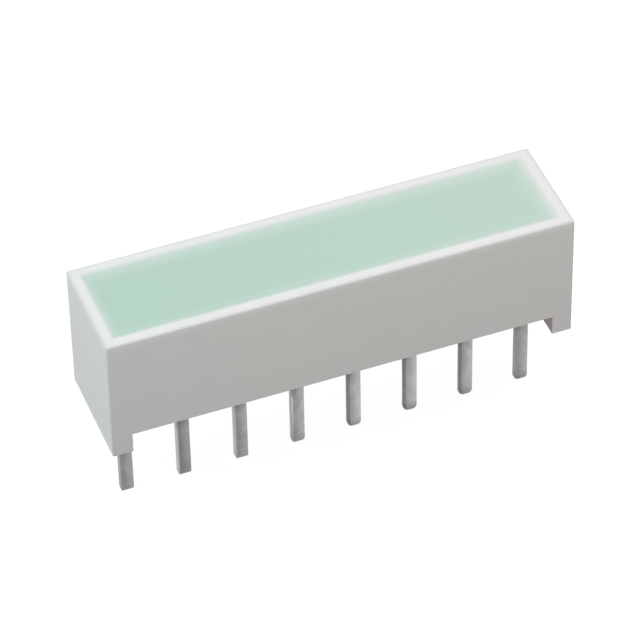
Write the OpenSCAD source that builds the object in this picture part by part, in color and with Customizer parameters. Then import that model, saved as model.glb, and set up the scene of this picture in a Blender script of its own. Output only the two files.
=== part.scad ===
// LED light bar in a single in-line package.
// A white moulded housing holds a tapered reflector. A bent lead frame with one chip for each pair of leads
// stands in it, and tinted epoxy, cast from underneath, fills it flush with the rim.
// The origin is the middle of the seat on the board: +X runs along the bar and +Z towards the light face.

/* [Housing] */
// Room between two bars that stand end to end with their leads in step
stack_gap = 0.12; // [0.05:0.01:0.3]
// Depth of the housing, front to back
body_w = 4.95; // [4.6:0.05:6]
// Height of the light face above the board
body_h = 6; // [5:0.1:8]
// Height of the feet, which hold the housing clear of the board
foot_h = 0.95; // [0.5:0.05:1.4]
// Room between an end lead and the foot beside it
foot_clear = 0.05; // [0.02:0.01:0.15]
// Thickness of the long walls beside the straight well
side_wall = 0.9; // [0.7:0.05:1.1]
// Width of the rim round the window
rim = 0.47; // [0.3:0.01:0.65]
// Rounding of the edges round the light face
top_edge_r = 0.08; // [0.04:0.01:0.25]
// Rounding of the upright corners
corner_r = 0.08; // [0.04:0.01:0.25]

/* [Casting] */
// Height of the straight well between the underside and the foot of the reflector's taper
well_h = 0.95; // [0.5:0.05:1.5]
// How far the epoxy stops short of the underside
fill_gap = 0.12; // [0.05:0.01:0.3]

/* [Leads] */
// Number of chips, each with a lead on either side
chip_count = 4; // [1:1:8]
// Distance from lead to lead
pitch = 2.54; // [2.3:0.02:3]
// Width of the stamped lead
lead_w = 0.48; // [0.35:0.01:0.55]
// Thickness of the stamped sheet
lead_t = 0.26; // [0.2:0.01:0.32]
// Thickness of the solder coat outside the epoxy
coat_t = 0.04; // [0.01:0.005:0.06]
// Rounding of the coated lead's long edges
coat_r = 0.08; // [0.02:0.01:0.12]
// Rounding of the lead's tip
tip_r = 0.05; // [0.02:0.01:0.12]
// Length of the leads below the seat on the board
pin_l = 4.5; // [2.5:0.05:6]
// Height of the chip pads above the housing's underside
pad_rise = 1.05; // [0.8:0.05:1.6]
// Inside radius of the bend under the pads
bend_r = 0.15; // [0.1:0.01:0.25]
// Flat stretch between the bend and the arm
bend_relief = 0.15; // [0.05:0.01:0.25]
// Length of the chip pad along the bar
pad_l = 0.7; // [0.5:0.02:0.9]
// Reach of the chip pad in front of the chip's middle
pad_reach = 0.4; // [0.3:0.02:0.6]
// Room between the chip pad and the bond arm
pad_gap = 0.25; // [0.15:0.01:0.3]

/* [Chips] */
// Side of the square chip
chip_side = 0.3; // [0.2:0.01:0.4]
// Height of the chip
chip_h = 0.25; // [0.15:0.01:0.35]
// Thickness of the adhesive under the chip
attach_t = 0.03; // [0.01:0.005:0.06]
// How far the adhesive stands out round the chip
attach_edge = 0.04; // [0.02:0.01:0.08]
// Diameter of the bond wire
wire_d = 0.03; // [0.02:0.005:0.05]
// Straight rise of the wire above the chip
wire_rise = 0.08; // [0.06:0.01:0.2]
// Radius of the wire's two bends
wire_bend_r = 0.2; // [0.1:0.01:0.3]
// Radius of the ball that bonds the wire to the chip
ball_r = 0.05; // [0.04:0.005:0.08]
// Height of that ball
ball_h = 0.04; // [0.02:0.005:0.05]

/* [Hidden] */
$fn = 64;
PAIRS = [1 : chip_count];
PAIR_PIECES = ["cathode_lead", "anode_lead", "led_chip", "die_attach", "bond_wire"];

// Overshoot that lets a cut pass clean through a face
cut = 1;

// Leads: each comes straight up, bends back and carries an arm towards the middle of its pair
lead_count = 2 * chip_count;
row_l = (lead_count - 1) * pitch;
pin_w = lead_w + 2 * coat_t;
pin_t = lead_t + 2 * coat_t;
pad_z = foot_h + pad_rise;
pad_top = pad_z + lead_t;
bend_y = lead_t / 2 + bend_r;
arm_y = bend_y + bend_relief;
arm_end_x = pad_l / 2 + pad_gap;

// Housing: its length is a whole number of lead pitches, so that bars can stand end to end.
// The well between the feet just clears the end leads, and the end walls rise flush from the feet.
body_l = lead_count * pitch - stack_gap;
window_l = body_l - 2 * rim;
window_w = body_w - 2 * rim;
well_l = row_l + pin_w + 2 * foot_clear;
well_w = body_w - 2 * side_wall;
taper_z = foot_h + well_h;
fill_z = foot_h + fill_gap;

// Chips and wires
chip_z = pad_top + attach_t;
chip_top = chip_z + chip_h;
bond_x = arm_end_x + lead_w / 2;
bond_y = arm_y + lead_w / 2;
wire_span = norm([bond_x, bond_y]);

function pair_x(i) = (2 * i - chip_count - 1) * pitch;

// Half width of a reflector wall where its taper is carried on above the light face
function flared(half_low, half_high, over) = half_high + (half_high - half_low) * over / (body_h - taper_z);

// Section of the well and reflector: straight sides, then a taper that opens to the light face
function cavity_section(low, high, bottom, over) =
    let (foot = low / 2, mouth = flared(low / 2, high / 2, over))
    [
        [-foot, bottom],
        [foot, bottom],
        [foot, taper_z],
        [mouth, body_h + over],
        [-mouth, body_h + over],
        [-foot, taper_z]
    ];

// Turns a section drawn in X and Z into a slab along Y, centred on the bar
module along_y(depth) {
    translate([0, depth / 2, 0])
        rotate([90, 0, 0])
            linear_extrude(depth)
                children();
}

// Turns a section drawn in Y and Z into a slab along X, centred on the bar
module along_x(length) {
    translate([-length / 2, 0, 0])
        rotate([90, 0, 90])
            linear_extrude(length)
                children();
}

// Rectangle that stands on the axis with its two upper corners rounded
module rounded_top(width, low, high, r) {
    translate([-width / 2, low])
        square([width, high - r - low]);
    translate([-width / 2 + r, low])
        square([width - 2 * r, high - low]);
    for (side = [-1, 1])
        translate([side * (width / 2 - r), high - r])
            circle(r);
}

// Rectangle centred on the origin with all four corners rounded
module rounded_plan(length, width, r) {
    square([length, width - 2 * r], center = true);
    square([length - 2 * r, width], center = true);
    for (x = [-1, 1], y = [-1, 1])
        translate([x * (length / 2 - r), y * (width / 2 - r)])
            circle(r);
}

// Well and reflector inside the housing, from a given level up to the light face or past it
module cavity(bottom, over) {
    intersection() {
        along_y(body_w)
            polygon(cavity_section(well_l, window_l, bottom, over));
        along_x(body_l)
            polygon(cavity_section(well_w, window_w, bottom, over));
    }
}

// Outside of the housing: the front view with its feet, the end view and the plan, all at once
module housing_block() {
    intersection() {
        along_y(body_w + 2 * cut)
            difference() {
                rounded_top(body_l, 0, body_h, top_edge_r);
                translate([-well_l / 2, -cut])
                    square([well_l, foot_h + cut]);
            }
        along_x(body_l + 2 * cut)
            rounded_top(body_w, -cut, body_h, top_edge_r);
        translate([0, 0, -cut])
            linear_extrude(body_h + 2 * cut)
                rounded_plan(body_l, body_w, corner_r);
    }
}

module housing() {
    color("whitesmoke")
        difference() {
            housing_block();
            cavity(0, cut);
        }
}

// Straight, solder-coated part of a lead, from its tip up to the epoxy
module coated_pin() {
    intersection() {
        translate([0, 0, -pin_l])
            linear_extrude(pin_l + fill_z)
                rounded_plan(pin_w, pin_t, coat_r);
        along_y(pin_t + 2 * cut)
            mirror([0, 1])
                rounded_top(pin_w, -fill_z, pin_l, tip_r);
        along_x(pin_w + 2 * cut)
            mirror([0, 1])
                rounded_top(pin_t, -fill_z - cut, pin_l, tip_r);
    }
}

// Side view of the bare strip: up through the epoxy, round the bend and flat to the arm
module bent_strip_section() {
    translate([-lead_t / 2, 0])
        square([lead_t, pad_z - bend_r]);
    translate([bend_y, pad_z - bend_r])
        intersection() {
            difference() {
                circle(bend_r + lead_t);
                circle(bend_r);
            }
            translate([-bend_r - lead_t, 0])
                square(bend_r + lead_t);
        }
    translate([bend_y, pad_z])
        square([bend_relief, lead_t]);
}

// One lead at its own place in the row, without its arm
module lead_stem(x) {
    translate([x, 0, 0]) {
        coated_pin();
        along_x(lead_w)
            bent_strip_section();
    }
}

// Lead whose arm ends in the pad under the chip
module cathode_lead(i) {
    pin_x = -pitch / 2;
    color("silver")
        translate([pair_x(i), 0, 0]) {
            lead_stem(pin_x);
            translate([0, 0, pad_z])
                linear_extrude(lead_t) {
                    translate([pin_x - lead_w / 2, arm_y])
                        square([lead_w / 2 - pin_x + pad_l / 2, lead_w]);
                    translate([-pad_l / 2, -pad_reach])
                        square([pad_l, pad_reach + arm_y + lead_w]);
                }
        }
}

// Lead whose arm stops short of the pad and takes the bond wire
module anode_lead(i) {
    pin_x = pitch / 2;
    color("silver")
        translate([pair_x(i), 0, 0]) {
            lead_stem(pin_x);
            translate([arm_end_x, arm_y, pad_z])
                cube([pin_x + lead_w / 2 - arm_end_x, lead_w, lead_t]);
        }
}

// Cured dot of conductive adhesive, a little wider than the chip
module die_attach(i) {
    attach_side = chip_side + 2 * attach_edge;
    color("gainsboro")
        translate([pair_x(i), 0, pad_top])
            linear_extrude(attach_t)
                rounded_plan(attach_side, attach_side, attach_edge);
}

module led_chip(i) {
    color("yellowgreen")
        translate([pair_x(i) - chip_side / 2, -chip_side / 2, chip_z])
            cube([chip_side, chip_side, chip_h]);
}

// Quarter turn of wire in the plane of the loop, from the +X side of its middle up to the top
module wire_bend() {
    rotate([90, 0, 0])
        rotate_extrude(angle = 90)
            translate([wire_bend_r, 0])
                circle(d = wire_d);
}

// Loop from the top of the chip over to the bond arm, with the ball on the chip
module bond_wire(i) {
    color("gold")
        translate([pair_x(i), 0, chip_top])
            rotate(atan2(bond_y, bond_x)) {
                cylinder(r = ball_r, h = ball_h);
                cylinder(d = wire_d, h = wire_rise);
                translate([wire_bend_r, 0, wire_rise])
                    mirror([1, 0, 0])
                        wire_bend();
                translate([wire_bend_r, 0, wire_rise + wire_bend_r])
                    rotate([0, 90, 0])
                        cylinder(d = wire_d, h = wire_span - 2 * wire_bend_r);
                translate([wire_span - wire_bend_r, 0, wire_rise])
                    wire_bend();
                translate([wire_span, 0, pad_top - chip_top])
                    cylinder(d = wire_d, h = wire_rise + chip_top - pad_top);
            }
}

// Epoxy round everything that stands in the well
module tinted_epoxy() {
    color("#BCD7CB")
        difference() {
            cavity(fill_z, 0);
            for (i = PAIRS) {
                cathode_lead(i);
                anode_lead(i);
                die_attach(i);
                led_chip(i);
                bond_wire(i);
            }
        }
}

housing();
tinted_epoxy();
for (i = PAIRS) {
    cathode_lead(i);
    anode_lead(i);
    led_chip(i);
    die_attach(i);
    bond_wire(i);
}
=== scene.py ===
"""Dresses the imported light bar: white moulded housing, tinted epoxy window and eight solder-dipped leads.

Laid out as an add-on and run as a script. Meshes are modelled in millimetres and written in metres.
"""

import math
from typing import NamedTuple

import bmesh
import bpy
from bpy.props import FloatProperty, FloatVectorProperty, PointerProperty
from bpy.types import Operator, Panel, PropertyGroup
from mathutils import Matrix, Quaternion, Vector, noise


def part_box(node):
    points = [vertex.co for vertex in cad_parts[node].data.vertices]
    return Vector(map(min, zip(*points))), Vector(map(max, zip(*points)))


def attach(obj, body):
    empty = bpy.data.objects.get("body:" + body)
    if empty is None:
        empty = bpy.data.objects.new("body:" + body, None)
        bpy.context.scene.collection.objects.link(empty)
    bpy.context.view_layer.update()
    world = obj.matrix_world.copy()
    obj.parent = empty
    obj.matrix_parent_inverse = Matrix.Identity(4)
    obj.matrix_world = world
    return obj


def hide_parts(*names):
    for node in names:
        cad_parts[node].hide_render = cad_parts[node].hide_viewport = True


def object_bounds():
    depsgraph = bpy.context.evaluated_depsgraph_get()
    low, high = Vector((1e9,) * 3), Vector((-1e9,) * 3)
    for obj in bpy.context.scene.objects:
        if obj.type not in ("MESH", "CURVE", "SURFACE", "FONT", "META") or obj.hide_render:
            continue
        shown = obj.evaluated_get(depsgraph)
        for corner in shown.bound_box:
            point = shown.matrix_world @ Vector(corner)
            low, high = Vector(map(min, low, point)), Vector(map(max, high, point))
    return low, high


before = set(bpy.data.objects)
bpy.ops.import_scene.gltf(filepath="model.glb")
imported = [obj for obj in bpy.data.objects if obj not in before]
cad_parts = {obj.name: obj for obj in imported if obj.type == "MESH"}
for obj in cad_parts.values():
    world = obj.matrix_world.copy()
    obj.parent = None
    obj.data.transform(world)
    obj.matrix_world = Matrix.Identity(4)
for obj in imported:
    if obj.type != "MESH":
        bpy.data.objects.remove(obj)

bl_info = {
    "name": "LED light bar",
    "version": (1, 0, 0),
    "blender": (4, 5, 0),
    "location": "View3D > Sidebar > Light bar",
    "description": "Models and finishes the housing, window and leads of an LED light bar",
    "category": "Object",
}

# Frame
MM = 0.001
BODY = "root"
CAD_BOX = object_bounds()
PAIRS = range(1, 1 + sum(name.startswith("led_chip_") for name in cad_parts))

# Meshes, with lengths in millimetres
TOUCH = 1e-4
NEARLY_UPRIGHT = 0.99
SMOOTH_ANGLE = math.radians(40)
ROUND_SEGMENTS = 5
TRIM_SEGMENTS = 2
BEND_STEPS = 8
PIN_RINGS = 24

# A pin's tip, as shares of its edge radius: how far it is drawn out, and how far it closes in
TIP_REACH = 1.3
TIP_INSET = 0.75

# Lumps in the solder: their spacing and the step between two leads' patterns, in millimetres, and the share
# of the lump height that the thinnest coat has
LUMP_SPACING = 0.55
LUMP_STEP = 10.0
LEAST_LUMP = 0.25


class Solder(NamedTuple):
    """How one lead came out of the solder bath, and the painted light and shade on its left side."""

    dip: float  # from 0, thin and crisp, to 1, thick and round
    paleness: float  # from 0, the darkest lead, to 1, the palest
    side_light: float  # painted light and shade on its left side, from 0, shaded, to 1, lit
    gleam: float = 0.0  # the strength of the painted highlight along its left edges


# The leads' solder, from the left
SOLDER = (
    Solder(dip=0.0, paleness=0.25, side_light=0.38),
    Solder(dip=0.05, paleness=0.02, side_light=0.85),
    Solder(dip=0.1, paleness=0.32, side_light=0.8),
    Solder(dip=0.45, paleness=0.61, side_light=0.6, gleam=1.0),
    Solder(dip=0.8, paleness=0.95, side_light=0.0),
    Solder(dip=1.0, paleness=1.0, side_light=0.0),
    Solder(dip=0.85, paleness=0.78, side_light=0.0),
    Solder(dip=0.65, paleness=0.41, side_light=0.4),
)


# Settings


def length(name, description, default):
    """A length setting: kept in metres, with its default given in millimetres."""
    return FloatProperty(
        name=name, description=description, default=default * MM, min=0, unit="LENGTH", precision=6)


def angle(name, description, default):
    """An angle setting, with its default given in degrees."""
    return FloatProperty(name=name, description=description, default=math.radians(default), subtype="ANGLE")


def colour(name, description, default):
    """A linear colour setting."""
    return FloatVectorProperty(
        name=name, description=description, default=default, min=0, max=1, subtype="COLOR")


def share(name, description, default):
    """A setting from 0 to 1."""
    return FloatProperty(name=name, description=description, default=default, min=0, max=1, subtype="FACTOR")


def power(name, description, default):
    """A lamp's power, in watts."""
    return FloatProperty(name=name, description=description, default=default, min=0, unit="POWER")


class HousingSettings(PropertyGroup):
    edge_radius: length(
        "Edge radius", "Rounding of the upright corners and the edges round the light face", 0.08)
    trim_radius: length("Foot edge radius", "Rounding of the edges round the feet and the underside", 0.012)
    foot_height: length("Foot height", "Height of the feet that hold the housing clear of the board", 0.95)
    foot_clear: length("Foot clearance", "Room between an end lead and the foot beside it", 0.05)
    side_wall: length("Side wall", "Thickness of the long walls beside the straight well", 0.9)
    well_height: length("Well height", "Height of the straight well below the reflector's taper", 0.95)
    # Painted light: the plastic goes from cool at the left end to warm at the right, as the lamps there do
    moulding_left_cool_lit: colour(
        "Moulding, left", "Colour of the white plastic at the left end", (0.81, 0.82, 0.828))
    moulding_right_warm_lit: colour(
        "Moulding, right", "Colour of the white plastic at the right end", (0.83, 0.815, 0.824))
    clouding: share("Clouding", "How much light the plastic's cloudy patches keep", 0.98)
    # Darkens the light face towards its outer edge
    rim_darkening: share("Rim wear", "How much light the worn edge round the light face loses", 0.12)
    # Painted light: the walls are paler just below the light face's edge
    painted_edge_light: share("Edge glow", "How much paler the walls are just below that edge", 0.09)
    # Painted light: the walls are paler at the light face than at the feet
    painted_wall_light: share("Wall glow", "How much paler the walls are at the light face than at the feet", 0.05)
    # Painted shade: the feet's inner faces lie in shadow under the body, and this colour darkens them
    inner_foot_shade: colour("Flux", "Colour of the feet's inner faces, stained by soldering flux", (0.52, 0.41, 0.435))
    creep: colour("Creep", "Colour of the epoxy that has crept onto the rim's inner edge", (0.55, 0.66, 0.60))
    # Painted shade: a small dark spot at one foot's bottom corner, where its rounded edge lies in shadow
    corner_shade: colour("Stain", "Colour of the small handling mark on one foot", (0.42, 0.33, 0.24))


class WindowSettings(PropertyGroup):
    tint_left: colour("Tint, left", "Colour of the diffused epoxy at the left end", (0.438, 0.629, 0.544))
    tint_right: colour("Tint, right", "Colour of the diffused epoxy at the right end", (0.492, 0.648, 0.57))
    # The veil's colour also carries painted light, where the veil reaches further in at the back and right
    veil: colour("Edge veil", "Colour of the thin epoxy over the white reflector wall", (0.80, 0.79, 0.79))
    clouding: share("Clouding", "How much of the veil's colour the epoxy's cloudy patches take", 0.03)
    roughness: share("Roughness", "Roughness of the cast face", 0.42)


class LeadSettings(PropertyGroup):
    strip_width: length("Strip width", "Width of the stamped lead", 0.48)
    strip_thickness: length("Strip thickness", "Thickness of the stamped sheet", 0.26)
    coat: length("Solder coat", "Thickness of a thin coat of solder outside the epoxy", 0.04)
    swell: length("Swell", "How much thicker the fullest coat is", 0.03)
    thin_radius: length("Thin coat radius", "Edge rounding of a thinly coated lead", 0.04)
    thick_radius: length("Thick coat radius", "Edge rounding of a thickly coated lead", 0.16)
    lump: length("Lump height", "How far a thick coat swells and sinks", 0.006)
    bend_radius: length("Bend radius", "Inside radius of the bend under the chip pads", 0.15)
    bend_relief: length("Bend relief", "Flat stretch between the bend and the arm", 0.15)
    pad_length: length("Pad length", "Length of the chip pad along the bar", 0.7)
    dark_solder: colour("Dark solder", "Colour of the darkest lead", (0.30, 0.297, 0.293))
    pale_solder: colour("Pale solder", "Colour of the palest lead", (0.52, 0.497, 0.505))
    dulling: share("Dulling", "How much light the oxidised patches keep", 0.85)
    # Painted shade: each lead is darker at its left and paler at its right, as light falls across it
    painted_shading: share("Grading", "How much darker a lead is at its left than at its middle", 0.28)
    # Tarnish at the tips; just below the housing, tarnish with painted shade from the housing's shadow
    tarnish_and_shade: colour(
        "Tarnish", "Colour of the metal just below the housing and at the tips", (0.05, 0.045, 0.048))
    # Painted light and shade: a lead's left side runs from the shaded colour to the lit one
    shaded_side: colour("Dull side", "Colour of the left side of a thickly coated lead", (0.30, 0.28, 0.293))
    lit_side: colour("Clean side", "Colour of the left side of a thinly coated lead", (0.52, 0.53, 0.535))
    # Painted highlight along a lead's left edges
    painted_highlight: colour("Rubbed edge", "Colour of an edge that is rubbed bright", (0.72, 0.71, 0.72))


class InsideSettings(PropertyGroup):
    chip: colour("Chip", "Colour of the gallium phosphide chip", (0.36, 0.30, 0.09))
    chip_base: colour("Chip base", "Colour of the chip's metallised foot", (0.55, 0.40, 0.14))
    adhesive: colour("Adhesive", "Colour of the silver-filled die adhesive", (0.52, 0.51, 0.49))
    resin: colour("Resin", "Colour of the resin between the adhesive's silver flakes", (0.2, 0.2, 0.2))
    gold: colour("Bond wire", "Colour of the gold wire", (0.83, 0.58, 0.22))
    dull_gold: colour("Dull bond wire", "Colour of the gold wire's dull patches", (0.62, 0.40, 0.13))


class StageSettings(PropertyGroup):
    azimuth: angle("Azimuth", "Camera's turn to the right of the front", -20.2356)
    elevation: angle("Elevation", "Camera's height above the level", 43.0797)
    roll: angle("Roll", "Camera's tilt about its own line of sight", -1.2465)
    distance: length("Distance", "Camera's distance from the point that it looks at", 169.228)
    aim: FloatVectorProperty(
        name="Aim", description="Point that the camera looks at", default=(-0.14519 * MM, 0, 1.93932 * MM),
        subtype="TRANSLATION", unit="LENGTH", precision=6)
    lens: FloatProperty(
        name="Lens", description="Focal length of the camera", default=231.3297, min=1, unit="CAMERA")
    floor: colour("Floor", "Colour of the pale floor as it lights the object", (0.3, 0.29, 0.28))
    shadow: colour("Shadow", "Colour of the floor's coat that shows the shadow", (0.2, 0.2, 0.2))
    key_power: power("Key lamp", "Power of the soft lamp above the bar", 0.0765)
    side_power: power("Side lamp", "Power of the soft lamp at the left", 0.176)
    front_power: power("Front lamp", "Power of the soft lamp in front", 0.0575)
    back_power: power("Back lamp", "Power of the soft lamp behind", 0.051)
    sky: share("Sky light", "Strength of the even light from all round", 0.16)


class LightBarSettings(PropertyGroup):
    housing: PointerProperty(type=HousingSettings, name="Housing", description="Moulded housing")
    window: PointerProperty(type=WindowSettings, name="Window", description="Tinted epoxy window")
    leads: PointerProperty(type=LeadSettings, name="Leads", description="Stamped and dipped leads")
    inside: PointerProperty(type=InsideSettings, name="Inside", description="Chips, adhesive and wires")
    stage: PointerProperty(type=StageSettings, name="Stage", description="Floor, light and camera")


# Mesh tools


def in_mm(value):
    """A length or a point of the frame, in the millimetres that meshes are modelled in."""
    return value / MM


def part_way(start, end, part):
    """The value at a part of the way from one to another."""
    return start + (end - start) * part


def node_box(node):
    """Lowest and highest corners of a CAD node, in millimetres."""
    return tuple(in_mm(corner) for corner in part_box(node))


def climb(edge):
    """How far an edge rises from end to end."""
    return abs(edge.verts[0].co.z - edge.verts[1].co.z)


def bevel(bm, edges, radius, segments):
    """Rounds edges."""
    bmesh.ops.bevel(
        bm, geom=edges, offset=radius, offset_type="OFFSET", affect="EDGES", segments=segments, profile=0.5,
        clamp_overlap=True, material=-1)


def pull(bm, face, way):
    """Extrudes a face along a vector and returns the face at its end."""
    made = bmesh.ops.extrude_face_region(bm, geom=[face, *face.edges, *face.verts])["geom"]
    bmesh.ops.translate(bm, vec=way, verts=[part for part in made if isinstance(part, bmesh.types.BMVert)])
    bm.normal_update()
    return next(part for part in made if isinstance(part, bmesh.types.BMFace))


def neighbour(face, way):
    """The face beside another that looks most nearly along a vector."""
    beside = {other for edge in face.edges for other in edge.link_faces} - {face}
    return max(beside, key=lambda other: other.normal.dot(Vector(way)))


def level_faces(bm, height, up):
    """The level faces at a height that look up or down."""
    return [
        face for face in bm.faces
        if face.normal.z * up > NEARLY_UPRIGHT and abs(face.calc_center_median().z - height) < TOUCH]


def level_face(bm, height, up):
    """The largest level face at a height."""
    return max(level_faces(bm, height, up), key=lambda face: face.calc_area())


def open_hole(bm, height, up, half_x, half_y):
    """Cuts a rectangular hole in a level face and returns the edges round it."""
    for axis, half in ((Vector((1, 0, 0)), half_x), (Vector((0, 1, 0)), half_y)):
        for side in (-half, half):
            faces = level_faces(bm, height, up)
            parts = {part for face in faces for part in (face, *face.edges, *face.verts)}
            bmesh.ops.bisect_plane(bm, geom=list(parts), dist=TOUCH, plane_co=axis * side, plane_no=axis)
    hole = level_face(bm, height, up)
    around = hole.edges[:]
    bmesh.ops.delete(bm, geom=[hole], context="FACES_ONLY")
    return around


def rectangle(bm, half_x, half_y, x, height):
    """A level rectangle that looks up."""
    corners = ((-half_x, -half_y), (half_x, -half_y), (half_x, half_y), (-half_x, half_y))
    return bm.faces.new([bm.verts.new((x + dx, dy, height)) for dx, dy in corners])


def add_piece(name, bm, material, node):
    """Turns a closed mesh in millimetres into a piece that stands for a CAD node and rides with it."""
    bmesh.ops.recalc_face_normals(bm, faces=bm.faces)
    if not all(edge.is_manifold for edge in bm.edges):
        raise RuntimeError(f"the mesh of {name} isn't closed")
    bmesh.ops.scale(bm, vec=(MM, MM, MM), verts=bm.verts)
    mesh = bpy.data.meshes.new(name)
    bm.to_mesh(mesh)
    bm.free()
    mesh.shade_smooth()
    mesh.set_sharp_from_angle(angle=SMOOTH_ANGLE)
    mesh.materials.append(material)
    piece = bpy.data.objects.new(name, mesh)
    bpy.context.scene.collection.objects.link(piece)
    shading = piece.modifiers.new("Even shading", "WEIGHTED_NORMAL")
    shading.keep_sharp = True
    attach(piece, BODY)
    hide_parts(node)


def dress(node, material):
    """Gives a CAD node its finished material."""
    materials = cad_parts[node].data.materials
    materials.clear()
    materials.append(material)


# Housing


def well_half_length(settings):
    """Half the room between the feet, which is also half the length of the straight well."""
    return in_mm(settings.foot_clear) - node_box("cathode_lead_1")[0].x


def model_housing(settings):
    """A block on two feet, rounded, with a tapered reflector through it from the window to the underside."""
    low, high = node_box("housing")
    window = node_box("tinted_epoxy")[1]
    foot = in_mm(settings.foot_height)
    taper = foot + in_mm(settings.well_height)
    well_x = well_half_length(settings)
    well_y = high.y - in_mm(settings.side_wall)

    bm = bmesh.new()
    outline = (
        (low.x, 0), (-well_x, 0), (-well_x, foot), (well_x, foot),
        (well_x, 0), (high.x, 0), (high.x, high.z), (low.x, high.z))
    front = bm.faces.new([bm.verts.new((x, low.y, z)) for x, z in outline])
    pull(bm, front, (0, high.y - low.y, 0))
    bmesh.ops.recalc_face_normals(bm, faces=bm.faces)

    rounded = [
        edge for edge in bm.edges
        if all(vert.co.z > high.z - TOUCH for vert in edge.verts)
        or all(abs(vert.co.x) > high.x - TOUCH for vert in edge.verts) and climb(edge) > TOUCH]
    bevel(bm, rounded, in_mm(settings.edge_radius), ROUND_SEGMENTS)
    trim = [
        edge for edge in bm.edges
        if all(vert.co.z < foot + TOUCH for vert in edge.verts)
        and edge.calc_face_angle_signed() > SMOOTH_ANGLE]
    bevel(bm, trim, in_mm(settings.trim_radius), TRIM_SEGMENTS)

    # The window, the hole between the feet, and the reflector's taper and straight well that join them
    wall = open_hole(bm, high.z, 1, window.x, window.y)
    open_hole(bm, foot, -1, well_x, well_y)
    narrowing = (well_x / window.x, well_y / window.y, 1)
    for grow, drop in ((narrowing, taper - high.z), ((1, 1, 1), foot - taper)):
        made = bmesh.ops.extrude_edge_only(bm, edges=wall)["geom"]
        ends = [part for part in made if isinstance(part, bmesh.types.BMVert)]
        bmesh.ops.scale(bm, vec=grow, verts=ends)
        bmesh.ops.translate(bm, vec=(0, 0, drop), verts=ends)
        edges = [part for part in made if isinstance(part, bmesh.types.BMEdge)]
        wall = [edge for edge in edges if all(vert in ends for vert in edge.verts)]
    bmesh.ops.remove_doubles(bm, verts=bm.verts, dist=TOUCH)
    return bm


# Leads


def model_pin(bm, settings, x, tip, top, dip, seed):
    """The dipped pin, with edges and tip as round as its coat is thick, and a swelling surface."""
    coat = in_mm(settings.coat + dip * settings.swell)
    wide = in_mm(settings.strip_width) + 2 * coat
    thick = in_mm(settings.strip_thickness) + 2 * coat
    radius = part_way(in_mm(settings.thin_radius), in_mm(settings.thick_radius), dip)
    reach = radius * TIP_REACH
    inset = radius * TIP_INSET

    bmesh.ops.create_cube(bm, size=1)
    bmesh.ops.scale(bm, vec=(wide, thick, top - tip - reach), verts=bm.verts)
    bmesh.ops.translate(bm, vec=(x, 0, (top + tip + reach) / 2), verts=bm.verts)
    bevel(bm, [edge for edge in bm.edges if climb(edge) > TOUCH], radius, ROUND_SEGMENTS)
    bmesh.ops.subdivide_edges(
        bm, edges=[edge for edge in bm.edges if climb(edge) > TOUCH], cuts=PIN_RINGS, use_grid_fill=True)

    # The tip is drawn out in a few rings that close in along a quarter of an ellipse
    pivot = Matrix.Translation((-x, 0, 0))
    end = level_face(bm, tip + reach, -1)
    turns = [math.pi / 2 * step / ROUND_SEGMENTS for step in range(ROUND_SEGMENTS + 1)]
    for before, after in zip(turns, turns[1:]):
        drop = reach * (math.sin(before) - math.sin(after))
        end = pull(bm, end, (0, 0, drop))
        closing = [
            (half - most * (1 - math.cos(after))) / (half - most * (1 - math.cos(before)))
            for half, most in ((wide / 2, inset), (thick / 2, inset / 2))]
        bmesh.ops.scale(bm, vec=(*closing, 1), space=pivot, verts=end.verts)

    lump = in_mm(settings.lump) * (LEAST_LUMP + dip)
    for vert in bm.verts:
        outward = Vector((vert.co.x - x, vert.co.y, 0))
        if vert.co.z < top - TOUCH and outward.length > TOUCH:
            rise = noise.noise(Vector((vert.co.x, vert.co.y, vert.co.z + seed)) / LUMP_SPACING)
            vert.co += outward.normalized() * (lump * rise)


def pin_middle(settings, node, toward):
    """Where the middle of a lead's pin stands along X. Its pair's middle lies toward +X or -X."""
    low, high = node_box(node)
    half_pin = in_mm(settings.strip_width / 2 + settings.coat)
    return low.x + half_pin if toward > 0 else high.x - half_pin


def model_lead(settings, node, toward, dip, seed):
    """A stamped lead: dipped pin, bare strip, bend, arm and, on a cathode, the chip pad.

    toward is the way along X from the pin to the middle of its pair: 1 on a cathode, -1 on an anode.
    """
    low, high = node_box(node)
    fill = node_box("tinted_epoxy")[0].z
    strip_w = in_mm(settings.strip_width)
    strip_t = in_mm(settings.strip_thickness)
    bend_radius = in_mm(settings.bend_radius)
    x = pin_middle(settings, node, toward)
    bend_y = strip_t / 2 + bend_radius
    bend_z = high.z - strip_t - bend_radius

    bm = bmesh.new()
    model_pin(bm, settings, x, low.z, fill, dip, seed)
    shoulder = level_face(bm, fill, 1)
    shoulder_loop = shoulder.edges[:]
    bmesh.ops.delete(bm, geom=[shoulder], context="FACES")
    strip = rectangle(bm, strip_w / 2, strip_t / 2, x, fill)
    bmesh.ops.bridge_loops(bm, edges=shoulder_loop + strip.edges[:])
    strip = pull(bm, strip, (0, 0, bend_z - fill))
    spun = bmesh.ops.spin(
        bm, geom=[strip, *strip.edges, *strip.verts], cent=(x, bend_y, bend_z), axis=(1, 0, 0),
        angle=-math.pi / 2, steps=BEND_STEPS)
    end = next(part for part in spun["geom_last"] if isinstance(part, bmesh.types.BMFace))
    end = pull(bm, end, (0, in_mm(settings.bend_relief), 0))
    arm_y = end.calc_center_median().y
    end = pull(bm, end, (0, strip_w, 0))
    side = neighbour(end, (toward, 0, 0))
    side_x = x + toward * strip_w / 2
    if toward > 0:
        pad_length = in_mm(settings.pad_length)
        side = pull(bm, side, (high.x - pad_length - side_x, 0, 0))
        side = pull(bm, side, (pad_length, 0, 0))
        pull(bm, neighbour(side, (0, -1, 0)), (0, low.y - arm_y, 0))
    else:
        pull(bm, side, (low.x - side_x, 0, 0))
    return bm


# Node tools

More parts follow.
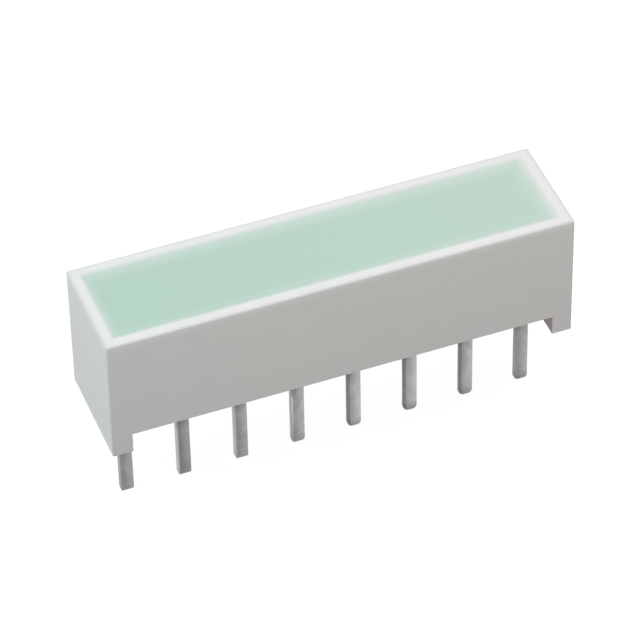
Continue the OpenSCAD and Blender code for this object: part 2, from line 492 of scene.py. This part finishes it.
# The sockets of a Mix node for colours, which share their names with its other kinds
MIX_FACTOR = 0
MIX_FIRST = 6
MIX_SECOND = 7
MIX_RESULT = 2


def plug(tree, socket, value):
    """Links a socket to another node's output, or sets it to a value."""
    if isinstance(value, bpy.types.NodeSocket):
        tree.links.new(value, socket)
    else:
        socket.default_value = value


def add(tree, kind, inputs=None, **settings):
    """Adds a node with its settings, and fills its inputs from values or from other nodes' sockets."""
    node = tree.nodes.new(kind)
    for key, value in settings.items():
        setattr(node, key, value)
    for key, value in (inputs or {}).items():
        plug(tree, node.inputs[key], value)
    return node


def feed(tree, node, **inputs):
    """Fills a node's inputs by name, with underscores for spaces."""
    for key, value in inputs.items():
        plug(tree, node.inputs[key.replace("_", " ")], value)


def opaque(value):
    """A colour setting with the alpha that a socket wants."""
    return (*value, 1)


def mix(tree, factor, first, second, blend="MIX"):
    """Mixes two colours and returns the socket of the result."""
    inputs = {MIX_FACTOR: factor, MIX_FIRST: first, MIX_SECOND: second}
    node = add(tree, "ShaderNodeMix", inputs, data_type="RGBA", blend_type=blend)
    return node.outputs[MIX_RESULT]


def shaded(tree, tone, shade):
    """Multiplies a colour by a shade and returns the socket of the result."""
    return mix(tree, 1.0, tone, shade, "MULTIPLY")


def math_node(tree, operation, first, second=0.0):
    """Works out a value and returns its socket."""
    return add(tree, "ShaderNodeMath", {0: first, 1: second}, operation=operation).outputs[0]


def spread(tree, value, start, end, to_start=0.0, to_end=1.0):
    """Maps a stretch of a value smoothly to another and returns the socket of the result."""
    node = add(
        tree, "ShaderNodeMapRange",
        {"Value": value, "From Min": start, "From Max": end, "To Min": to_start, "To Max": to_end},
        interpolation_type="SMOOTHSTEP")
    return node.outputs["Result"]


def fade(tree, value, start, end, most=1.0):
    """Falls smoothly from its most to nothing over a stretch of a value."""
    return spread(tree, value, start, end, most, 0.0)


def between(tree, mask, at_none, at_full):
    """Goes smoothly from one value to another as a mask goes from 0 to 1."""
    return spread(tree, mask, 0.0, 1.0, at_none, at_full)


def place(tree):
    """The point on the piece, in millimetres."""
    point = add(tree, "ShaderNodeTexCoord").outputs["Object"]
    to_mm = (1 / MM, 1 / MM, 1 / MM)
    return add(tree, "ShaderNodeMapping", {"Vector": point, "Scale": to_mm}).outputs["Vector"]


def split(tree, point):
    """The three parts of a point."""
    parts = add(tree, "ShaderNodeSeparateXYZ", {"Vector": point}).outputs
    return parts["X"], parts["Y"], parts["Z"]


def bare_tree(owner):
    """The node tree of a material or a world, emptied."""
    owner.use_nodes = True
    owner.node_tree.nodes.clear()
    return owner.node_tree


def new_material(name):
    """A material with a Principled shader. Returns it with its node tree and that shader."""
    material = bpy.data.materials.new(name)
    tree = bare_tree(material)
    shader = add(tree, "ShaderNodeBsdfPrincipled")
    add(tree, "ShaderNodeOutputMaterial", {"Surface": shader.outputs["BSDF"]})
    return material, tree, shader


def bump(tree, height, depth):
    """A normal from a height that is depth millimetres deep."""
    node = add(tree, "ShaderNodeBump", {"Height": height, "Strength": 1.0, "Distance": depth * MM})
    return node.outputs["Normal"]


def new_group(name, inputs, outputs):
    """A shader node group with the given kinds of input and with float outputs.

    Returns its tree and its two end nodes.
    """
    group = bpy.data.node_groups.new(name, "ShaderNodeTree")
    for socket, kind in inputs.items():
        group.interface.new_socket(socket, in_out="INPUT", socket_type=kind)
    for socket in outputs:
        group.interface.new_socket(socket, in_out="OUTPUT", socket_type="NodeSocketFloat")
    return group, add(group, "NodeGroupInput"), add(group, "NodeGroupOutput")


# Mottle

# The noise's detail in the patches and in the specks, its roughness, and the stretch of it that counts
PATCH_DETAIL = 3.0
SPECK_DETAIL = 2.0
MOTTLE_ROUGHNESS = 0.55
MOTTLE_STRETCH = (0.3, 0.7)


def surface_mottle():
    """Group: broad cloudy patches and fine specks, each with its own size in millimetres."""
    name = "surface_mottle"
    if name in bpy.data.node_groups:
        return bpy.data.node_groups[name]
    sizes = {"Point": "NodeSocketVector", "Patch size": "NodeSocketFloat", "Speck size": "NodeSocketFloat"}
    group, given, result = new_group(name, sizes, ("Patches", "Specks"))
    scales = (("Patch size", "Patches", PATCH_DETAIL), ("Speck size", "Specks", SPECK_DETAIL))
    for size, output, detail in scales:
        density = math_node(group, "DIVIDE", 1.0, given.outputs[size])
        cloud = add(group, "ShaderNodeTexNoise", {
            "Vector": given.outputs["Point"], "Scale": density,
            "Detail": detail, "Roughness": MOTTLE_ROUGHNESS})
        plug(group, result.inputs[output], spread(group, cloud.outputs["Fac"], *MOTTLE_STRETCH))
    return group


def mottle(tree, point, patch, speck):
    """Places the mottle group and returns its patches and specks."""
    node = add(tree, "ShaderNodeGroup", node_tree=surface_mottle())
    feed(tree, node, Point=point, Patch_size=patch, Speck_size=speck)
    return node.outputs["Patches"], node.outputs["Specks"]


# White moulding

# Lengths are in millimetres, and a pair is where a change starts and ends. A mottle is the sizes of its
# patches and specks, and a roughness goes from between the patches to their middles
MOULDING_MOTTLE = (1.6, 0.09)
MOULDING_ROUGHNESS = (0.52, 0.6)
MOULDING_GRAIN = 0.004
LIGHT_FACE_DEPTH = (0.02, 0.08)
RIM_DARKENING_INWARD = (0.02, 0.18)
PAINTED_EDGE_LIGHT_DEPTH = (0.08, 0.4)
PAINTED_WALL_LIGHT_TOP = 0.6
PAINTED_WALL_LIGHT_FOOT = -0.4
FOOT_SHADE_BELOW_UNDERSIDE = (0.12, 0.02)
CREEP_REACH = 0.09
CREEP_MOST = 0.35
CREEP_FROM_RIGHT = (0.8, 0.5)
CORNER_SHADE_FROM_CORNER = (0.12, 0.0, 0.05)
CORNER_SHADE_RADIUS = (0.02, 0.1)
CORNER_SHADE_MOST = 0.5


def white_moulding(settings):
    """Matt white plastic with faint clouding and a fine moulded grain.

    The light face is darker towards its outer edge, and painted light makes the walls paler below that edge
    and towards the top. Painted light also shifts the colour from cool at the left to warm at the right. A
    little epoxy has crept onto the rim except at the right, and painted shade darkens the feet's inner faces
    and one foot's bottom corner.
    """
    material, tree, shader = new_material("white_moulding")
    point = place(tree)
    x, y, z = split(tree, point)
    patches, specks = mottle(tree, point, *MOULDING_MOTTLE)
    low, high = node_box("housing")
    across_x = math_node(tree, "ABSOLUTE", x)
    across_y = math_node(tree, "ABSOLUTE", y)
    depth = math_node(tree, "SUBTRACT", high.z, z)

    # Painted light: the colour shifts from cool at the left to warm at the right
    along = spread(tree, x, low.x, high.x)
    body = mix(tree, along, opaque(settings.moulding_left_cool_lit), opaque(settings.moulding_right_warm_lit))
    from_ends = math_node(tree, "SUBTRACT", high.x, across_x)
    from_sides = math_node(tree, "SUBTRACT", high.y, across_y)
    inward = math_node(tree, "MINIMUM", from_ends, from_sides)
    # The light face is darker towards its outer edge
    rim = spread(tree, inward, *RIM_DARKENING_INWARD, 1 - settings.rim_darkening, 1.0)
    # Painted light: the walls are paler just below the light face's edge
    edge = spread(tree, depth, *PAINTED_EDGE_LIGHT_DEPTH, 1 + settings.painted_edge_light, 1.0)
    # Painted light: the walls are paler towards the top than at the feet
    wall_top = settings.painted_wall_light * PAINTED_WALL_LIGHT_TOP
    wall_foot = settings.painted_wall_light * PAINTED_WALL_LIGHT_FOOT
    wall = spread(tree, depth, PAINTED_EDGE_LIGHT_DEPTH[1], high.z, wall_top, wall_foot)
    shade = mix(tree, spread(tree, depth, *LIGHT_FACE_DEPTH), rim, math_node(tree, "ADD", edge, wall))
    body = shaded(tree, shaded(tree, body, shade), between(tree, patches, settings.clouding, 1.0))

    # Painted shade: darkens the feet's inner faces, which lie in shadow under the body
    well_x = well_half_length(settings)
    on_inner_face = fade(tree, across_x, well_x, well_x + in_mm(settings.trim_radius))
    foot = in_mm(settings.foot_height)
    on_foot = fade(tree, z, *(foot - below for below in FOOT_SHADE_BELOW_UNDERSIDE))
    body = mix(tree, math_node(tree, "MULTIPLY", on_inner_face, on_foot), body, opaque(settings.inner_foot_shade))

    window = node_box("tinted_epoxy")[1]
    past_ends = math_node(tree, "SUBTRACT", across_x, window.x)
    past_sides = math_node(tree, "SUBTRACT", across_y, window.y)
    outside = math_node(tree, "MAXIMUM", past_ends, past_sides)
    but_right = fade(tree, x, *(high.x - inset for inset in CREEP_FROM_RIGHT))
    crept = math_node(tree, "MULTIPLY", fade(tree, outside, 0.0, CREEP_REACH, CREEP_MOST), but_right)
    on_face = fade(tree, depth, *LIGHT_FACE_DEPTH)
    body = mix(tree, math_node(tree, "MULTIPLY", crept, on_face), body, opaque(settings.creep))

    # Painted shade: a small dark spot at the left foot's bottom corner, where its rounded edge lies in shadow
    middle = low + Vector(CORNER_SHADE_FROM_CORNER)
    from_mark = add(tree, "ShaderNodeVectorMath", {0: point, 1: middle}, operation="DISTANCE")
    mark = fade(tree, from_mark.outputs["Value"], *CORNER_SHADE_RADIUS, CORNER_SHADE_MOST)
    feed(
        tree, shader, Base_Color=mix(tree, mark, body, opaque(settings.corner_shade)),
        Roughness=between(tree, patches, *MOULDING_ROUGHNESS), Normal=bump(tree, specks, MOULDING_GRAIN))
    return material


# Tinted epoxy


class Veil(NamedTuple):
    """How the tint comes in from one side of the window, with lengths in millimetres."""

    start: float  # the share of the tint at the side itself
    line: float  # its share at the line where it stops rising steeply
    line_end: float  # how far in that line is
    veil_end: float  # how far in the tint is full


# Painted light: the back and right veils reach further in, as the lit walls scatter light into the epoxy
LEFT_VEIL = Veil(start=0.5, line=0.8, line_end=0.14, veil_end=0.42)
FRONT_VEIL = Veil(start=0.55, line=0.89, line_end=0.13, veil_end=0.5)
BACK_VEIL_AND_LIGHT = Veil(start=0.38, line=0.74, line_end=0.26, veil_end=0.8)
RIGHT_VEIL_AND_LIGHT = Veil(start=0.28, line=0.82, line_end=0.45, veil_end=0.95)
EPOXY_MOTTLE = (0.5, 0.06)
EPOXY_GRAIN = 0.002


def edge_veil():
    """Group: how fully the tint shows at a distance in from one side of the window.

    The epoxy is thin over the sloping white wall, so the tint starts at a line and deepens inwards. A veil
    that reaches further in also holds painted light.
    """
    name = "edge_veil"
    if name in bpy.data.node_groups:
        return bpy.data.node_groups[name]
    sizes = {socket: "NodeSocketFloat" for socket in ("Inward", "Start", "Line", "Line end", "Veil end")}
    group, given, result = new_group(name, sizes, ("Tint",))
    sockets = given.outputs
    line = spread(group, sockets["Inward"], 0.0, sockets["Line end"], sockets["Start"], sockets["Line"])
    rest = math_node(group, "SUBTRACT", 1.0, sockets["Line"])
    deep = spread(group, sockets["Inward"], sockets["Line end"], sockets["Veil end"], 0.0, rest)
    plug(group, result.inputs["Tint"], math_node(group, "ADD", line, deep))
    return group


def tinted_epoxy(settings):
    """Diffused epoxy: an even pale tint that thins to white where the reflector's walls lie close under it.

    The nearest wall sets how much of the tint shows. At the back and right the whitening reaches further in,
    as painted light from the lit walls.
    """
    material, tree, shader = new_material("tinted_epoxy")
    point = place(tree)
    x, y, _ = split(tree, point)
    low, high = node_box("tinted_epoxy")
    patches, specks = mottle(tree, point, *EPOXY_MOTTLE)
    sides = (
        (math_node(tree, "SUBTRACT", x, low.x), LEFT_VEIL),
        (math_node(tree, "SUBTRACT", y, low.y), FRONT_VEIL),
        (math_node(tree, "SUBTRACT", high.y, y), BACK_VEIL_AND_LIGHT),
        (math_node(tree, "SUBTRACT", high.x, x), RIGHT_VEIL_AND_LIGHT))
    tint = 1.0
    for inward, veil in sides:
        node = add(tree, "ShaderNodeGroup", node_tree=edge_veil())
        feed(
            tree, node, Inward=inward, Start=veil.start, Line=veil.line, Line_end=veil.line_end,
            Veil_end=veil.veil_end)
        tint = math_node(tree, "MINIMUM", tint, node.outputs["Tint"])
    along = spread(tree, x, low.x, high.x)
    body = mix(tree, along, opaque(settings.tint_left), opaque(settings.tint_right))
    clouded = mix(tree, between(tree, patches, 0.0, settings.clouding), body, opaque(settings.veil))
    feed(
        tree, shader, Base_Color=mix(tree, tint, opaque(settings.veil), clouded),
        Roughness=settings.roughness, Normal=bump(tree, specks, EPOXY_GRAIN))
    return material


# Dipped solder

# Lengths are in millimetres, from a lead's left edge where they go across it. Heights are above the board,
# unless they name the tip. The mottle is drawn out along the lead
DRAWN_OUT = (1.0, 1.0, 0.4)
SOLDER_MOTTLE = (0.3, 0.07)
SOLDER_ROUGHNESS = (0.52, 0.4)
SOLDER_GRAIN = 0.004
SOLDER_METAL = 0.9
DULL_SIDE_METAL = 0.1
THIN_SIDE = 0.1
THICK_SIDE = 0.15
# Where the painted highlight lies: across the lead, above the tip and below the housing
HIGHLIGHT_START = (0.005, 0.025)
HIGHLIGHT_END = (0.04, 0.08)
HIGHLIGHT_ABOVE_TIP = (0.4, 2.3)
HIGHLIGHT_TOP_HEIGHT = (-2.0, -1.7)
# The root's tarnish and painted shade, strongest at the lead's left
ROOT_DARKENING_HEIGHT = (-2.0, -1.0)
ROOT_SHADE_LEFT = 0.5
ROOT_SHADE_RIGHT = 0.12
TIP_SOOT_REACH = 0.7
TIP_SOOT_MOST = 0.45


def dull_solder(settings, middle, solder):
    """Dip-soldered lead: oxidised patches, painted shade that darkens it to the left, a tarnished tip,
    and a root that is tarnished and darkened by painted shade from the housing.

    Its left side's brightness is painted light and shade, and a lead with a highlight has a painted
    highlight along its left edges.
    """
    material, tree, shader = new_material("dull_solder")
    point = place(tree)
    x, _, z = split(tree, point)
    drawn = add(tree, "ShaderNodeMapping", {"Vector": point, "Scale": DRAWN_OUT}).outputs["Vector"]
    patches, specks = mottle(tree, drawn, *SOLDER_MOTTLE)
    tone = Vector(settings.dark_solder).lerp(Vector(settings.pale_solder), solder.paleness)
    body = mix(tree, patches, opaque(tone * settings.dulling), opaque(tone))
    half = in_mm(settings.strip_width / 2 + settings.coat + solder.dip * settings.swell)
    across = math_node(tree, "SUBTRACT", x, middle)
    # Painted shade: darker at the left of the lead and paler at the right
    painted_shading_across = spread(tree, across, -half, half, 1 - settings.painted_shading, 1 + settings.painted_shading / 2)
    body = shaded(tree, body, painted_shading_across)

    # Painted light and shade on the left side, from shaded to lit as the lead's side light sets
    side = fade(tree, across, -half, part_way(THIN_SIDE, THICK_SIDE, solder.dip) - half)
    edge = Vector(settings.shaded_side).lerp(Vector(settings.lit_side), solder.side_light)
    body = mix(tree, side, body, opaque(edge))
    tip = node_box("cathode_lead_1")[0].z
    # Painted highlight along the left edges
    if solder.gleam:
        starts = spread(tree, across, *(inset - half for inset in HIGHLIGHT_START))
        ends = fade(tree, across, *(inset - half for inset in HIGHLIGHT_END))
        climbs = spread(tree, z, *(tip + above for above in HIGHLIGHT_ABOVE_TIP), 0.0, solder.gleam)
        stops = fade(tree, z, *HIGHLIGHT_TOP_HEIGHT)
        stripe = math_node(tree, "MULTIPLY", starts, ends)
        stretch = math_node(tree, "MULTIPLY", climbs, stops)
        body = mix(tree, math_node(tree, "MULTIPLY", stripe, stretch), body, opaque(settings.painted_highlight))

    # Just below the housing: tarnish, with painted shade from the housing's shadow that is deepest at the
    # left
    root_shade_across = spread(tree, across, -half, half, ROOT_SHADE_LEFT, ROOT_SHADE_RIGHT)
    root = math_node(tree, "MULTIPLY", spread(tree, z, *ROOT_DARKENING_HEIGHT), root_shade_across)
    tip_soot = fade(tree, z, tip, tip + TIP_SOOT_REACH, TIP_SOOT_MOST * solder.dip)
    tarnish_and_shade_mask = math_node(tree, "MAXIMUM", root, tip_soot)
    side_metal = part_way(DULL_SIDE_METAL, SOLDER_METAL, solder.side_light)
    feed(
        tree, shader, Base_Color=mix(tree, tarnish_and_shade_mask, body, opaque(settings.tarnish_and_shade)),
        Metallic=between(tree, side, SOLDER_METAL, side_metal),
        Roughness=between(tree, patches, *SOLDER_ROUGHNESS), Normal=bump(tree, specks, SOLDER_GRAIN))
    return material


# Chip, adhesive and bond wire

# Lengths are in millimetres. The saw marks, flake gaps and dull patches are the most that their colours take
CHIP_MOTTLE = (0.12, 0.02)
CHIP_ROUGHNESS = (0.25, 0.45)
SAW_MARKS = 0.25
PLATING_HEIGHT = (0.02, 0.04)
ADHESIVE_MOTTLE = (0.1, 0.015)
ADHESIVE_ROUGHNESS = (0.45, 0.65)
ADHESIVE_GRAIN = 0.003
ADHESIVE_METAL = 0.6
FLAKE_GAPS = 0.5
WIRE_MOTTLE = (0.08, 0.02)
WIRE_ROUGHNESS = (0.2, 0.35)
DULL_PATCHES = 0.3


def chip_crystal(settings):
    """Sawn light-emitting chip on a metallised foot."""
    material, tree, shader = new_material("chip_crystal")
    point = place(tree)
    _, _, z = split(tree, point)
    patches, specks = mottle(tree, point, *CHIP_MOTTLE)
    sawn = mix(tree, between(tree, specks, 0.0, SAW_MARKS), opaque(settings.chip), opaque(settings.chip_base))
    foot = node_box("led_chip_1")[0].z
    plated = fade(tree, z, *(foot + above for above in PLATING_HEIGHT))
    feed(
        tree, shader, Base_Color=mix(tree, plated, sawn, opaque(settings.chip_base)), Metallic=plated,
        Roughness=between(tree, patches, *CHIP_ROUGHNESS))
    return material


def silver_adhesive(settings):
    """Silver-filled adhesive, grainy and dull."""
    material, tree, shader = new_material("silver_adhesive")
    patches, specks = mottle(tree, place(tree), *ADHESIVE_MOTTLE)
    gaps = between(tree, specks, 0.0, FLAKE_GAPS)
    feed(
        tree, shader, Base_Color=mix(tree, gaps, opaque(settings.adhesive), opaque(settings.resin)),
        Metallic=ADHESIVE_METAL, Roughness=between(tree, patches, *ADHESIVE_ROUGHNESS),
        Normal=bump(tree, specks, ADHESIVE_GRAIN))
    return material


def gold_wire(settings):
    """Drawn gold wire."""
    material, tree, shader = new_material("gold_wire")
    patches, specks = mottle(tree, place(tree), *WIRE_MOTTLE)
    dull = between(tree, patches, 0.0, DULL_PATCHES)
    feed(
        tree, shader, Base_Color=mix(tree, dull, opaque(settings.gold), opaque(settings.dull_gold)),
        Metallic=1.0, Roughness=between(tree, specks, *WIRE_ROUGHNESS))
    return material


# Stage

# Lengths are in metres, and the sensor in millimetres
WHITE = (1, 1, 1, 1)
FLOOR_RADIUS = 0.6
FLOOR_SEGMENTS = 64
FLOOR_FADE = (0.04, 0.2)
FLOOR_GLOW_NEAR = 0.9
SENSOR_WIDTH = 36
NEAREST_SEEN = 0.001


class SoftLamp(NamedTuple):
    """A round soft lamp: where it hangs, how wide it is and the tone of its light."""

    position: tuple
    width: float
    tone: tuple


KEY_LAMP = SoftLamp((0.012, -0.005, 0.11), 0.15, (0.99, 1.0, 1.0))
SIDE_LAMP = SoftLamp((-0.14, 0.0, 0.07), 0.24, (0.91, 1.0, 0.98))
FRONT_LAMP = SoftLamp((0.04, -0.10, 0.08), 0.20, (1.0, 0.95, 0.87))
BACK_LAMP = SoftLamp((0.09, 0.11, 0.03), 0.24, (1.0, 1.0, 1.0))


def seen_white(tree):
    """1 on the rays that show the background: straight to the camera, off gloss, and through clear pieces."""
    path = add(tree, "ShaderNodeLightPath").outputs
    direct = math_node(tree, "MAXIMUM", path["Is Camera Ray"], path["Is Glossy Ray"])
    return math_node(tree, "MAXIMUM", direct, path["Is Transmission Ray"])


def pale_floor(settings):
    """White floor that lights the object at a plain level and is clear from below.

    It shows a faint shadow near the object and fades to plain white further out.
    """
    material = bpy.data.materials.new("pale_floor")
    tree = bare_tree(material)
    lighting = add(tree, "ShaderNodeBsdfDiffuse", {"Color": opaque(settings.floor)})
    point = add(tree, "ShaderNodeTexCoord").outputs["Object"]
    away = add(tree, "ShaderNodeVectorMath", {0: point}, operation="LENGTH").outputs["Value"]
    fading = spread(tree, away, *FLOOR_FADE, FLOOR_GLOW_NEAR, 1.0)
    glow = add(tree, "ShaderNodeEmission", {"Color": WHITE, "Strength": fading})
    shadow = add(tree, "ShaderNodeBsdfDiffuse", {"Color": opaque(settings.shadow)})
    white = add(tree, "ShaderNodeAddShader", {0: glow.outputs[0], 1: shadow.outputs[0]})
    shown = add(
        tree, "ShaderNodeMixShader", {0: seen_white(tree), 1: lighting.outputs[0], 2: white.outputs[0]})
    below = add(tree, "ShaderNodeNewGeometry").outputs["Backfacing"]
    clear = add(tree, "ShaderNodeBsdfTransparent")
    sheet = add(tree, "ShaderNodeMixShader", {0: below, 1: shown.outputs[0], 2: clear.outputs[0]})
    add(tree, "ShaderNodeOutputMaterial", {"Surface": sheet.outputs[0]})
    return material


def make_floor(settings):
    """A wide floor at the tips of the leads."""
    bm = bmesh.new()
    bmesh.ops.create_circle(bm, cap_ends=True, segments=FLOOR_SEGMENTS, radius=FLOOR_RADIUS)
    bmesh.ops.translate(bm, vec=(0, 0, CAD_BOX[0].z), verts=bm.verts)
    mesh = bpy.data.meshes.new("floor")
    bm.to_mesh(mesh)
    bm.free()
    mesh.materials.append(pale_floor(settings))
    floor = bpy.data.objects.new("floor", mesh)
    bpy.context.scene.collection.objects.link(floor)


def make_sky(settings):
    """Even light from all round, which shows as white."""
    world = bpy.data.worlds.new("studio")
    tree = bare_tree(world)
    strength = between(tree, seen_white(tree), settings.sky, 1.0)
    sky = add(tree, "ShaderNodeBackground", {"Color": WHITE, "Strength": strength})
    add(tree, "ShaderNodeOutputWorld", {"Surface": sky.outputs[0]})
    bpy.context.scene.world = world


def hang_lamp(name, lamp, watts):
    """Hangs a soft lamp that looks at the bar."""
    light = bpy.data.lights.new(name, "AREA")
    light.shape = "DISK"
    light.size = lamp.width
    light.energy = watts
    light.color = lamp.tone
    holder = bpy.data.objects.new(name, light)
    holder.location = lamp.position
    holder.rotation_mode = "QUATERNION"
    holder.rotation_quaternion = (-holder.location).to_track_quat("-Z", "Y")
    bpy.context.scene.collection.objects.link(holder)


def make_lamps(settings):
    """A wide soft lamp overhead, a cool one at the left, a warm one in front and a weak one behind."""
    hang_lamp("key_lamp", KEY_LAMP, settings.key_power)
    hang_lamp("side_lamp", SIDE_LAMP, settings.side_power)
    hang_lamp("front_lamp", FRONT_LAMP, settings.front_power)
    hang_lamp("back_lamp", BACK_LAMP, settings.back_power)


def make_camera(settings):
    """A camera at the photograph's angle."""
    lens = bpy.data.cameras.new("camera")
    lens.lens = settings.lens
    lens.sensor_width = SENSOR_WIDTH
    lens.clip_start = NEAREST_SEEN
    camera = bpy.data.objects.new("camera", lens)
    level = math.cos(settings.elevation)
    back = Vector((
        math.sin(settings.azimuth) * level,
        -math.cos(settings.azimuth) * level,
        math.sin(settings.elevation)))
    camera.location = Vector(settings.aim) + back * settings.distance
    camera.rotation_mode = "QUATERNION"
    camera.rotation_quaternion = (-back).to_track_quat("-Z", "Y") @ Quaternion((0, 0, 1), settings.roll)
    bpy.context.scene.collection.objects.link(camera)
    bpy.context.scene.camera = camera


# Operators


class LIGHT_BAR_OT_stage(Operator):
    """Sets the floor, the light and the camera"""

    bl_idname = "light_bar.stage"
    bl_label = "Stage"

    def execute(self, context):
        settings = context.scene.light_bar.stage
        make_floor(settings)
        make_sky(settings)
        make_lamps(settings)
        make_camera(settings)
        context.scene.view_settings.view_transform = "Standard"
        return {"FINISHED"}


class LIGHT_BAR_OT_housing(Operator):
    """Models the moulded housing and gives it its white finish"""

    bl_idname = "light_bar.housing"
    bl_label = "Housing"

    def execute(self, context):
        settings = context.scene.light_bar.housing
        bm = model_housing(settings)
        add_piece("moulded_housing", bm, white_moulding(settings), "housing")
        return {"FINISHED"}


class LIGHT_BAR_OT_window(Operator):
    """Gives the cast window its tinted finish"""

    bl_idname = "light_bar.window"
    bl_label = "Window"

    def execute(self, context):
        dress("tinted_epoxy", tinted_epoxy(context.scene.light_bar.window))
        return {"FINISHED"}


class LIGHT_BAR_OT_leads(Operator):
    """Models the stamped leads, each with its own dip of solder"""

    bl_idname = "light_bar.leads"
    bl_label = "Leads"

    def execute(self, context):
        settings = context.scene.light_bar.leads
        kinds = (("cathode", 1), ("anode", -1))
        leads = [(pair, kind, toward) for pair in PAIRS for kind, toward in kinds]
        for order, ((pair, kind, toward), solder) in enumerate(zip(leads, SOLDER, strict=True)):
            node = f"{kind}_lead_{pair}"
            bm = model_lead(settings, node, toward, solder.dip, order * LUMP_STEP)
            finish = dull_solder(settings, pin_middle(settings, node, toward), solder)
            add_piece(f"dipped_{kind}_{pair}", bm, finish, node)
        return {"FINISHED"}


class LIGHT_BAR_OT_chips(Operator):
    """Gives the chips, their adhesive and their bond wires their finishes"""

    bl_idname = "light_bar.chips"
    bl_label = "Chips and wires"

    def execute(self, context):
        settings = context.scene.light_bar.inside
        finishes = {
            "led_chip": chip_crystal(settings),
            "die_attach": silver_adhesive(settings),
            "bond_wire": gold_wire(settings),
        }
        for kind, material in finishes.items():
            for pair in PAIRS:
                dress(f"{kind}_{pair}", material)
        return {"FINISHED"}


class LIGHT_BAR_PT_sidebar(Panel):
    """Lists the pieces of the light bar and their settings"""

    bl_idname = "LIGHT_BAR_PT_sidebar"
    bl_label = "Light bar"
    bl_space_type = "VIEW_3D"
    bl_region_type = "UI"
    bl_category = "Light bar"

    def draw(self, context):
        parts = (
            (LIGHT_BAR_OT_stage, "stage"), (LIGHT_BAR_OT_housing, "housing"), (LIGHT_BAR_OT_window, "window"),
            (LIGHT_BAR_OT_leads, "leads"), (LIGHT_BAR_OT_chips, "inside"))
        for operator, name in parts:
            box = self.layout.box()
            box.operator(operator.bl_idname)
            settings = getattr(context.scene.light_bar, name)
            for key in settings.__annotations__:
                box.prop(settings, key)


CLASSES = (
    HousingSettings,
    WindowSettings,
    LeadSettings,
    InsideSettings,
    StageSettings,
    LightBarSettings,
    LIGHT_BAR_OT_stage,
    LIGHT_BAR_OT_housing,
    LIGHT_BAR_OT_window,
    LIGHT_BAR_OT_leads,
    LIGHT_BAR_OT_chips,
    LIGHT_BAR_PT_sidebar,
)


def register():
    for cls in CLASSES:
        bpy.utils.register_class(cls)
    bpy.types.Scene.light_bar = PointerProperty(
        type=LightBarSettings, name="Light bar", description="Sizes and colours of the light bar")


def unregister():
    del bpy.types.Scene.light_bar
    for cls in reversed(CLASSES):
        bpy.utils.unregister_class(cls)


def main():
    """Makes the stage and the pieces."""
    register()
    bpy.ops.light_bar.stage()
    bpy.ops.light_bar.housing()
    bpy.ops.light_bar.window()
    bpy.ops.light_bar.leads()
    bpy.ops.light_bar.chips()


if __name__ == "__main__":
    main()
